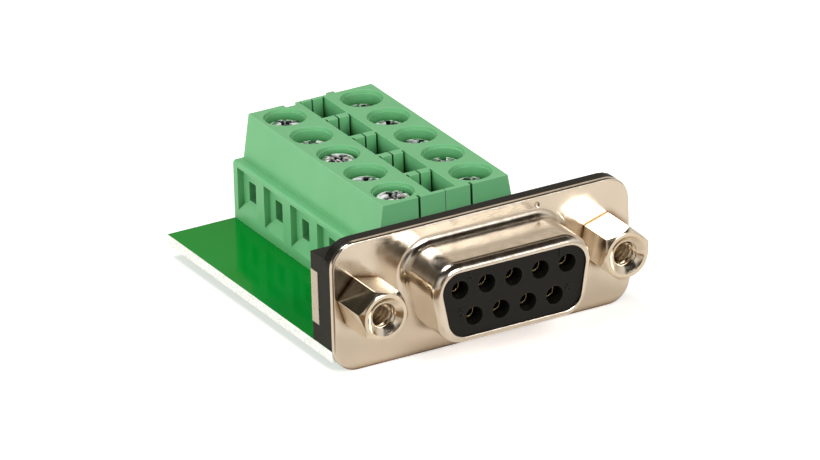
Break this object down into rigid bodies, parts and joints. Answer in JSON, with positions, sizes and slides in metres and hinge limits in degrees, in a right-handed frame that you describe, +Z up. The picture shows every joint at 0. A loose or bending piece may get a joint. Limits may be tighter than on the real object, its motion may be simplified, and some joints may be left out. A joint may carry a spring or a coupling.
{
  "type": "d-sub terminal block adapter",
  "caption": "Right-angle D-shaped socket connector on a small circuit board, wired to two back-to-back rows of rising-cage screw terminals.",
  "frame": {"origin": "middle of the overall box, on the surface that the adapter stands on", "axes": "+X along the connector, +Y from the mating face to the rear of the board, +Z up"},
  "size_m": [0.0308, 0.0384, 0.0125],
  "materials": {
    "terminal_plastic": "moulded, satin green",
    "solder_mask": "glossy green mask over glass-fibre laminate",
    "plated_shell": "pressed steel, warm nickel plate",
    "nickel_hardware": "turned, bright nickel plate",
    "zinc_screw": "bright zinc plate",
    "cage_metal": "pressed, nickel plate",
    "connector_plastic": "moulded, black, fine texture",
    "contact_metal": "gold flash",
    "pin_metal": "tin plate"
  },
  "bodies": {
    "adapter": {"circuit_board": "solder_mask", "connector_front_shell": "plated_shell", "connector_body": "connector_plastic", "tail_spacer": "connector_plastic", "socket_contact_1": "contact_metal", "socket_contact_2": "contact_metal", "socket_contact_3": "contact_metal", "socket_contact_4": "contact_metal", "socket_contact_5": "contact_metal", "socket_contact_6": "contact_metal", "socket_contact_7": "contact_metal", "socket_contact_8": "contact_metal", "socket_contact_9": "contact_metal", "ground_bracket_left": "plated_shell", "jackscrew_left": "nickel_hardware", "terminal_housing_left": "terminal_plastic", "terminal_pin_left_1": "pin_metal", "terminal_pin_left_2": "pin_metal", "terminal_pin_left_3": "pin_metal", "terminal_pin_left_4": "pin_metal", "terminal_pin_left_5": "pin_metal", "ground_bracket_right": "plated_shell", "jackscrew_right": "nickel_hardware", "terminal_housing_right": "terminal_plastic", "terminal_pin_right_1": "pin_metal", "terminal_pin_right_2": "pin_metal", "terminal_pin_right_3": "pin_metal", "terminal_pin_right_4": "pin_metal", "terminal_pin_right_5": "pin_metal"},
    "clamp_screw_left_1": {"clamp_screw_left_1": "zinc_screw"},
    "wire_cage_left_1": {"wire_cage_left_1": "cage_metal"},
    "clamp_screw_left_2": {"clamp_screw_left_2": "zinc_screw"},
    "wire_cage_left_2": {"wire_cage_left_2": "cage_metal"},
    "clamp_screw_left_3": {"clamp_screw_left_3": "zinc_screw"},
    "wire_cage_left_3": {"wire_cage_left_3": "cage_metal"},
    "clamp_screw_left_4": {"clamp_screw_left_4": "zinc_screw"},
    "wire_cage_left_4": {"wire_cage_left_4": "cage_metal"},
    "clamp_screw_left_5": {"clamp_screw_left_5": "zinc_screw"},
    "wire_cage_left_5": {"wire_cage_left_5": "cage_metal"},
    "clamp_screw_right_1": {"clamp_screw_right_1": "zinc_screw"},
    "wire_cage_right_1": {"wire_cage_right_1": "cage_metal"},
    "clamp_screw_right_2": {"clamp_screw_right_2": "zinc_screw"},
    "wire_cage_right_2": {"wire_cage_right_2": "cage_metal"},
    "clamp_screw_right_3": {"clamp_screw_right_3": "zinc_screw"},
    "wire_cage_right_3": {"wire_cage_right_3": "cage_metal"},
    "clamp_screw_right_4": {"clamp_screw_right_4": "zinc_screw"},
    "wire_cage_right_4": {"wire_cage_right_4": "cage_metal"},
    "clamp_screw_right_5": {"clamp_screw_right_5": "zinc_screw"},
    "wire_cage_right_5": {"wire_cage_right_5": "cage_metal"}
  },
  "joints": [
    {"name": "screw_turn_left_1", "type": "hinge", "parent": "adapter", "child": "clamp_screw_left_1", "pos_m": [-0.00405, -0.0042, 0.0108], "axis": [0, 0, -1], "range_deg": [0, 1148]},
    {"name": "cage_rise_left_1", "type": "slide", "parent": "adapter", "child": "wire_cage_left_1", "axis": [0, 0, 1], "range_m": [0, 0.00144]},
    {"name": "screw_turn_left_2", "type": "hinge", "parent": "adapter", "child": "clamp_screw_left_2", "pos_m": [-0.00405, 0.00088, 0.0104], "axis": [0, 0, -1], "range_deg": [0, 1148]},
    {"name": "cage_rise_left_2", "type": "slide", "parent": "adapter", "child": "wire_cage_left_2", "axis": [0, 0, 1], "range_m": [0, 0.00144]},
    {"name": "screw_turn_left_3", "type": "hinge", "parent": "adapter", "child": "clamp_screw_left_3", "pos_m": [-0.00405, 0.00596, 0.0108], "axis": [0, 0, -1], "range_deg": [0, 1148]},
    {"name": "cage_rise_left_3", "type": "slide", "parent": "adapter", "child": "wire_cage_left_3", "axis": [0, 0, 1], "range_m": [0, 0.00144]},
    {"name": "screw_turn_left_4", "type": "hinge", "parent": "adapter", "child": "clamp_screw_left_4", "pos_m": [-0.00405, 0.01104, 0.0103], "axis": [0, 0, -1], "range_deg": [0, 1148]},
    {"name": "cage_rise_left_4", "type": "slide", "parent": "adapter", "child": "wire_cage_left_4", "axis": [0, 0, 1], "range_m": [0, 0.00144]},
    {"name": "screw_turn_left_5", "type": "hinge", "parent": "adapter", "child": "clamp_screw_left_5", "pos_m": [-0.00405, 0.01612, 0.01055], "axis": [0, 0, -1], "range_deg": [0, 1148]},
    {"name": "cage_rise_left_5", "type": "slide", "parent": "adapter", "child": "wire_cage_left_5", "axis": [0, 0, 1], "range_m": [0, 0.00144]},
    {"name": "screw_turn_right_1", "type": "hinge", "parent": "adapter", "child": "clamp_screw_right_1", "pos_m": [0.00405, -0.0042, 0.01025], "axis": [0, 0, -1], "range_deg": [0, 1148]},
    {"name": "cage_rise_right_1", "type": "slide", "parent": "adapter", "child": "wire_cage_right_1", "axis": [0, 0, 1], "range_m": [0, 0.00144]},
    {"name": "screw_turn_right_2", "type": "hinge", "parent": "adapter", "child": "clamp_screw_right_2", "pos_m": [0.00405, 0.00088, 0.01035], "axis": [0, 0, -1], "range_deg": [0, 1148]},
    {"name": "cage_rise_right_2", "type": "slide", "parent": "adapter", "child": "wire_cage_right_2", "axis": [0, 0, 1], "range_m": [0, 0.00144]},
    {"name": "screw_turn_right_3", "type": "hinge", "parent": "adapter", "child": "clamp_screw_right_3", "pos_m": [0.00405, 0.00596, 0.01035], "axis": [0, 0, -1], "range_deg": [0, 1148]},
    {"name": "cage_rise_right_3", "type": "slide", "parent": "adapter", "child": "wire_cage_right_3", "axis": [0, 0, 1], "range_m": [0, 0.00144]},
    {"name": "screw_turn_right_4", "type": "hinge", "parent": "adapter", "child": "clamp_screw_right_4", "pos_m": [0.00405, 0.01104, 0.0104], "axis": [0, 0, -1], "range_deg": [0, 1148]},
    {"name": "cage_rise_right_4", "type": "slide", "parent": "adapter", "child": "wire_cage_right_4", "axis": [0, 0, 1], "range_m": [0, 0.00144]},
    {"name": "screw_turn_right_5", "type": "hinge", "parent": "adapter", "child": "clamp_screw_right_5", "pos_m": [0.00405, 0.01612, 0.01025], "axis": [0, 0, -1], "range_deg": [0, 1148]},
    {"name": "cage_rise_right_5", "type": "slide", "parent": "adapter", "child": "wire_cage_right_5", "axis": [0, 0, 1], "range_m": [0, 0.00144]}
  ],
  "couplings": [
    {"joint": "screw_turn_left_1", "follows": "cage_rise_left_1", "rad_per_m": 13963},
    {"joint": "screw_turn_left_2", "follows": "cage_rise_left_2", "rad_per_m": 13963},
    {"joint": "screw_turn_left_3", "follows": "cage_rise_left_3", "rad_per_m": 13963},
    {"joint": "screw_turn_left_4", "follows": "cage_rise_left_4", "rad_per_m": 13963},
    {"joint": "screw_turn_left_5", "follows": "cage_rise_left_5", "rad_per_m": 13963},
    {"joint": "screw_turn_right_1", "follows": "cage_rise_right_1", "rad_per_m": 13963},
    {"joint": "screw_turn_right_2", "follows": "cage_rise_right_2", "rad_per_m": 13963},
    {"joint": "screw_turn_right_3", "follows": "cage_rise_right_3", "rad_per_m": 13963},
    {"joint": "screw_turn_right_4", "follows": "cage_rise_right_4", "rad_per_m": 13963},
    {"joint": "screw_turn_right_5", "follows": "cage_rise_right_5", "rad_per_m": 13963}
  ]
}
